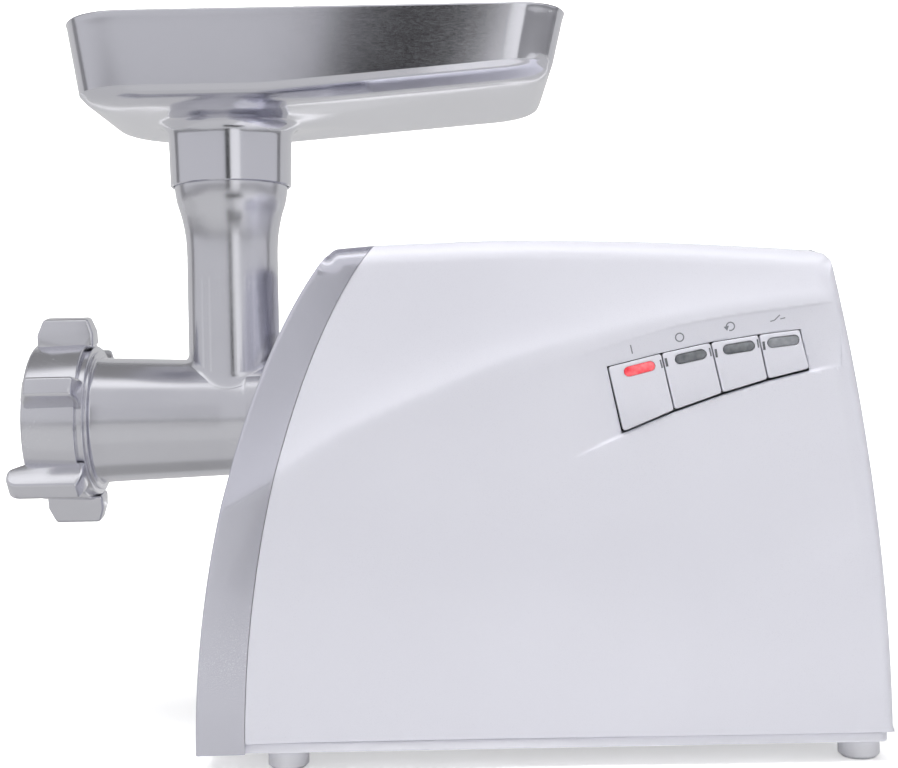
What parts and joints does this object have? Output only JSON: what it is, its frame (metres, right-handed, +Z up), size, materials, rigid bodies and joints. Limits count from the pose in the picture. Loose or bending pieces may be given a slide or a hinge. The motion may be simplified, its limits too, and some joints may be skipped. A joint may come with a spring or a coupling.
{
  "type": "electric meat grinder",
  "caption": "Countertop electric meat grinder with a motor housing, a twist-locked metal grinding head, a lugged ring nut and a feed tray on top.",
  "frame": {"origin": "on the surface that the feet stand on, under the middle of the bounding box", "axes": "+Z up, the grinding head points to -X, the control side with the push buttons faces -Y"},
  "size_m": [0.4055, 0.17, 0.3435],
  "materials": {
    "white_shell": "glossy white moulded plastic",
    "silver_fascia": "satin silver painted plastic",
    "cast_metal": "die-cast aluminium, fine satin",
    "tray_metal": "pressed aluminium, satin polish",
    "steel": "ground steel",
    "dark_steel": "varnished electrical steel laminations",
    "copper": "enamelled copper",
    "brass": "turned brass",
    "rubber_foot": "pale grey moulded rubber",
    "nylon": "natural nylon",
    "black_plastic": "black moulded plastic",
    "grey_plastic": "grey moulded plastic",
    "red_lens": "lit red indicator window",
    "dark_lens": "unlit smoked indicator window"
  },
  "bodies": {
    "housing": {"housing_control_side": "white_shell", "housing_far_side": "white_shell", "front_fascia": "silver_fascia", "base_plate": "grey_plastic", "foot_front_control": "rubber_foot", "foot_rear_control": "rubber_foot", "foot_front_far": "rubber_foot", "foot_rear_far": "rubber_foot", "cord_gland": "black_plastic", "head_socket": "cast_metal", "base_screw_front_control": "steel", "base_screw_rear_control": "steel", "base_screw_front_far": "steel", "base_screw_rear_far": "steel", "gearbox_case": "cast_metal", "gearbox_cover": "cast_metal", "output_bush": "brass", "field_coil_lower": "copper", "field_coil_upper": "copper", "motor_stator": "dark_steel", "motor_bracket_front": "cast_metal", "motor_bracket_rear": "cast_metal", "bearing_front": "steel", "bearing_rear": "steel", "brush_holder_control": "brass", "carbon_brush_control": "black_plastic", "brush_holder_far": "brass", "carbon_brush_far": "black_plastic", "switch_block": "black_plastic", "overload_breaker": "grey_plastic", "release_spring": "steel"},
    "rotor": {"rotor_shaft": "steel", "rotor_core": "dark_steel", "armature_winding_front": "copper", "armature_winding_rear": "copper", "commutator": "copper", "cooling_fan": "nylon", "motor_pinion": "steel"},
    "first_gear_set": {"first_gear": "nylon", "first_pinion_shaft": "steel"},
    "second_gear_set": {"second_gear": "nylon", "second_pinion_shaft": "steel"},
    "output_drive": {"output_gear": "steel", "drive_coupling": "steel"},
    "auger_set": {"auger": "cast_metal", "knife": "steel"},
    "head": {"grinder_head": "cast_metal"},
    "plate": {"cutting_plate": "steel"},
    "nut": {"ring_nut": "cast_metal"},
    "tray": {"feed_tray": "tray_metal"},
    "start": {"start_button": "white_shell", "start_lens": "red_lens"},
    "stop": {"stop_button": "white_shell", "stop_lens": "dark_lens"},
    "reverse": {"reverse_button": "white_shell", "reverse_lens": "dark_lens"},
    "reset": {"reset_button": "white_shell", "reset_lens": "dark_lens"},
    "release": {"release_button": "grey_plastic", "release_latch": "steel"}
  },
  "joints": [
    {"name": "rotor_spin", "type": "hinge", "parent": "housing", "child": "rotor", "pos_m": [0.06, 0, 0.0893], "axis": [1, 0, 0], "continuous": true},
    {"name": "first_gear_spin", "type": "hinge", "parent": "housing", "child": "first_gear_set", "pos_m": [-0.003, 0.03, 0.0893], "axis": [1, 0, 0], "continuous": true},
    {"name": "second_gear_spin", "type": "hinge", "parent": "housing", "child": "second_gear_set", "pos_m": [-0.016, 0, 0.1118], "axis": [1, 0, 0], "continuous": true},
    {"name": "output_spin", "type": "hinge", "parent": "housing", "child": "output_drive", "pos_m": [-0.032, 0, 0.1568], "axis": [1, 0, 0], "continuous": true},
    {"name": "auger_spin", "type": "hinge", "parent": "housing", "child": "auger_set", "pos_m": [-0.13, 0, 0.1568], "axis": [1, 0, 0], "continuous": true},
    {"name": "head_twist", "type": "hinge", "parent": "housing", "child": "head", "pos_m": [-0.066, 0, 0.1568], "axis": [1, 0, 0], "range_deg": [0, 35]},
    {"name": "plate_draw", "type": "slide", "parent": "head", "child": "plate", "axis": [-1, 0, 0], "range_m": [0, 0.0075]},
    {"name": "nut_turn", "type": "hinge", "parent": "plate", "child": "nut", "pos_m": [-0.183, 0, 0.1568], "axis": [-1, 0, 0], "range_deg": [0, 900]},
    {"name": "tray_lift", "type": "slide", "parent": "head", "child": "tray", "axis": [0, 0, 1], "range_m": [0, 0.06]},
    {"name": "start_press", "type": "slide", "parent": "housing", "child": "start", "axis": [0, 1, 0], "range_m": [0, 0.0024], "stiffness_N_per_m": 300, "springref_m": -0.002},
    {"name": "stop_press", "type": "slide", "parent": "housing", "child": "stop", "axis": [0, 1, 0], "range_m": [0, 0.0024], "stiffness_N_per_m": 300, "springref_m": -0.002},
    {"name": "reverse_press", "type": "slide", "parent": "housing", "child": "reverse", "axis": [0, 1, 0], "range_m": [0, 0.0024], "stiffness_N_per_m": 300, "springref_m": -0.002},
    {"name": "reset_press", "type": "slide", "parent": "housing", "child": "reset", "axis": [0, 1, 0], "range_m": [0, 0.0024], "stiffness_N_per_m": 300, "springref_m": -0.002},
    {"name": "release_press", "type": "slide", "parent": "housing", "child": "release", "axis": [1, 0, 0], "range_m": [0, 0.004], "stiffness_N_per_m": 500, "springref_m": -0.003, "deforming": ["release_spring"]}
  ],
  "couplings": [
    {"joint": "first_gear_spin", "follows": "rotor_spin", "ratio": -0.2},
    {"joint": "second_gear_spin", "follows": "rotor_spin", "ratio": 0.05},
    {"joint": "output_spin", "follows": "rotor_spin", "ratio": -0.0125},
    {"joint": "auger_spin", "follows": "rotor_spin", "ratio": -0.0125},
    {"joint": "plate_draw", "follows": "nut_turn", "m_per_rad": 0.00047746}
  ]
}
